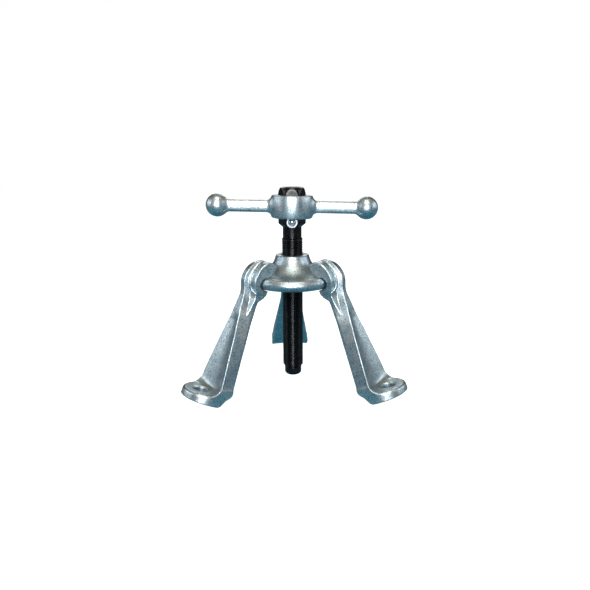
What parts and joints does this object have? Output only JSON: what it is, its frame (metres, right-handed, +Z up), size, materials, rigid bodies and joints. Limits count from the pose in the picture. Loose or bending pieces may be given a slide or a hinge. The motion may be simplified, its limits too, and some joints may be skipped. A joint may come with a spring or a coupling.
{
  "type": "gear puller",
  "caption": "Hub puller: a forged beaded yoke carries hooked arms with flat pierced feet, and a black forcing screw with a slip-on ball-end bar.",
  "frame": {"origin": "centre of the swivel tip's end face, where the screw meets the axle", "axes": "+Z up along the forcing screw, from its tip to its hexagonal head; +X along the handle's bar; -Y towards the side where the detent ball shows, with the odd arm at the rear"},
  "size_m": [0.1979, 0.1883, 0.18],
  "materials": {
    "zinc_plate": "bright bluish zinc plate over as-forged steel, satin and slightly mottled",
    "black_oxide": "black oxide over turned and rolled steel, oiled, semi-gloss",
    "ball_steel": "polished bearing steel",
    "spring_steel": "bare spring and sleeve steel"
  },
  "bodies": {
    "yoke": {"yoke": "zinc_plate"},
    "arm_left": {"arm_left": "zinc_plate"},
    "arm_right": {"arm_right": "zinc_plate"},
    "arm_rear": {"arm_rear": "zinc_plate"},
    "swivel": {"swivel_tip": "black_oxide", "thrust_ball": "ball_steel"},
    "screw": {"forcing_screw": "black_oxide", "tip_retaining_ring": "spring_steel", "detent_sleeve": "spring_steel", "detent_spring": "spring_steel"},
    "handle": {"drive_handle": "zinc_plate"},
    "detent": {"detent_ball": "ball_steel"}
  },
  "joints": [
    {"name": "arm_left_swing", "type": "hinge", "parent": "yoke", "child": "arm_left", "pos_m": [-0.02916, -0.02042, 0.0944], "axis": [0.5736, -0.8192, 0], "range_deg": [0, 30]},
    {"name": "arm_right_swing", "type": "hinge", "parent": "yoke", "child": "arm_right", "pos_m": [0.03019, -0.01886, 0.0944], "axis": [0.5299, 0.848, 0], "range_deg": [0, 30]},
    {"name": "arm_rear_swing", "type": "hinge", "parent": "yoke", "child": "arm_rear", "pos_m": [-0.00155, 0.03557, 0.0944], "axis": [-0.999, -0.0436, 0], "range_deg": [0, 30]},
    {"name": "tip_feed", "type": "slide", "parent": "yoke", "child": "swivel", "axis": [0, 0, 1], "range_m": [-0.0245, 0.08]},
    {"name": "screw_turn", "type": "hinge", "parent": "swivel", "child": "screw", "pos_m": [0, 0, 0], "axis": [0, 0, 1], "range_deg": [-5550, 18100]},
    {"name": "handle_lift", "type": "slide", "parent": "screw", "child": "handle", "axis": [0, 0, 1], "range_m": [0, 0.03]},
    {"name": "detent_press", "type": "slide", "parent": "screw", "child": "detent", "axis": [0, 1, 0], "range_m": [0, 0.002], "stiffness_N_per_m": 1500, "springref_m": -0.002, "deforming": ["detent_spring"]}
  ],
  "couplings": [
    {"joint": "tip_feed", "follows": "screw_turn", "m_per_rad": 0.00025266}
  ]
}
